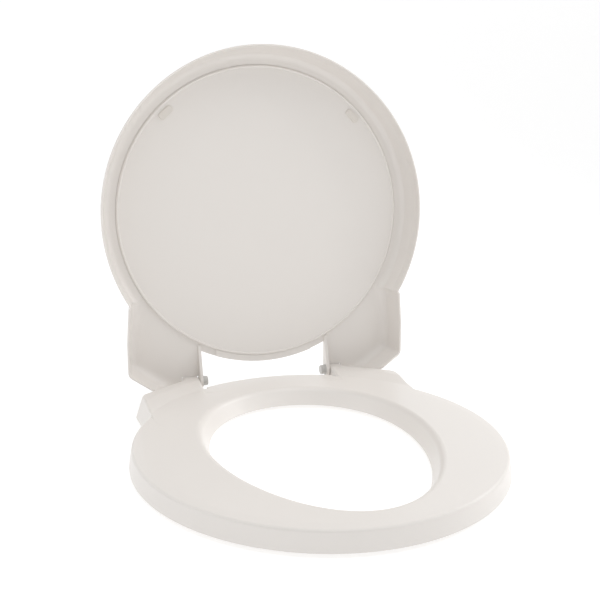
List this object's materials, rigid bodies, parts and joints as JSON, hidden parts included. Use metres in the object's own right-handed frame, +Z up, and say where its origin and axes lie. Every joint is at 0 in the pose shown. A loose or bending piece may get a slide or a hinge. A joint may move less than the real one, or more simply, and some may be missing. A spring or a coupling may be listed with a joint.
{
  "type": "toilet seat with deep lid",
  "caption": "Low round toilet seat ring with an egg-shaped opening and square rear ears, and a deep-skirted round lid, both turning on two short pegs that clip into a toilet.",
  "frame": {"origin": "centre of the footprint of the open seat and lid, on the surface under the bumpers", "axes": "+Z up, -Y towards the sitter, +X to the sitter's left; X = 0 is the mirror plane"},
  "size_m": [0.378, 0.4018, 0.4078],
  "materials": {
    "shell_plastic": "satin gloss, warm white",
    "base_plastic": "matte, warm white",
    "hinge_pin_plastic": "satin light grey",
    "washer_plastic": "satin light grey",
    "bush_plastic": "satin natural nylon",
    "clip_steel": "bright stainless",
    "screw_steel": "bright zinc",
    "bumper_rubber": "matte, off-white",
    "pad_rubber": "matte, off-white"
  },
  "bodies": {
    "hinge_pins": {"hinge_pin_left": "hinge_pin_plastic", "pin_clip_left": "clip_steel", "hinge_washer_left": "washer_plastic", "hinge_pin_right": "hinge_pin_plastic", "pin_clip_right": "clip_steel", "hinge_washer_right": "washer_plastic"},
    "seat": {"seat_shell": "shell_plastic", "seat_base_ring": "base_plastic", "seat_base_screws": "screw_steel", "seat_bush_left": "bush_plastic", "seat_bumper_front_left": "bumper_rubber", "seat_bumper_rear_left": "bumper_rubber", "seat_bush_right": "bush_plastic", "seat_bumper_front_right": "bumper_rubber", "seat_bumper_rear_right": "bumper_rubber"},
    "lid": {"lid_shell": "shell_plastic", "lid_liner": "shell_plastic", "lid_bush_left": "bush_plastic", "lid_rest_pad_left": "pad_rubber", "lid_bush_right": "bush_plastic", "lid_rest_pad_right": "pad_rubber"}
  },
  "joints": [
    {"name": "seat_hinge", "type": "hinge", "parent": "hinge_pins", "child": "seat", "pos_m": [0, 0.18039, 0.0216], "axis": [1, 0, 0], "range_deg": [-95, 0]},
    {"name": "lid_hinge", "type": "hinge", "parent": "seat", "child": "lid", "pos_m": [0, 0.18039, 0.0216], "axis": [1, 0, 0], "range_deg": [0, 92]}
  ]
}
